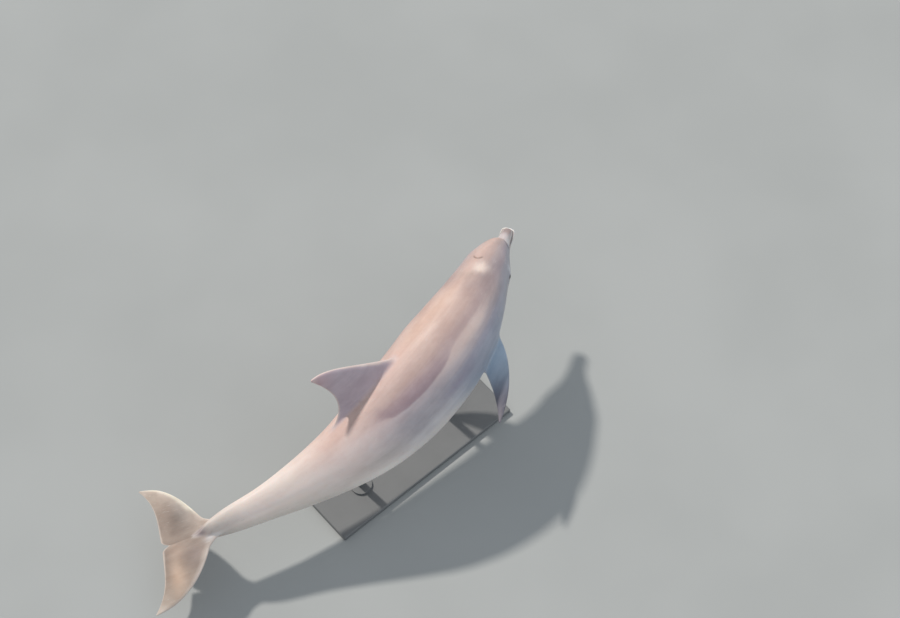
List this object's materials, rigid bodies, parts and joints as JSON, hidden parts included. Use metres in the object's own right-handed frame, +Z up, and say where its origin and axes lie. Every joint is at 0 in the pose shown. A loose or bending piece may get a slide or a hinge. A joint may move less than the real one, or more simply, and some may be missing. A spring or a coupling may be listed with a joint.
{
  "type": "dolphin model",
  "caption": "Life-size still model of a slim bottlenose dolphin banking to its left with hooked dorsal fin and swept flippers, held over a flat base by short rods",
  "frame": {"origin": "centre of the bounding box in plan, at the underside of the display base, which is the floor", "axes": "+X is the way the animal heads, from flukes to beak. +Y is to its left (port). +Z is up"},
  "size_m": [2.5183, 0.986, 0.9058],
  "materials": {
    "skin": "smooth moist hide, grey with a pinkish cast, darker on the back and pale below",
    "eye": "wet, very dark brown",
    "stand": "satin dark grey paint"
  },
  "bodies": {
    "root": {"upper_beak": "skin", "melon": "skin", "lower_jaw": "skin", "head": "skin", "neck": "skin", "chest": "skin", "midbody": "skin", "hindbody": "skin", "tail_stock": "skin", "fluke_root": "skin", "dorsal_fin": "skin", "flipper_left": "skin", "flipper_right": "skin", "fluke_left": "skin", "fluke_right": "skin", "eye_left": "eye", "eye_right": "eye", "stand_base": "stand", "stand_foot_front": "stand", "stand_foot_rear": "stand", "stand_rod_front": "stand", "stand_rod_rear": "stand"}
  },
  "joints": []
}
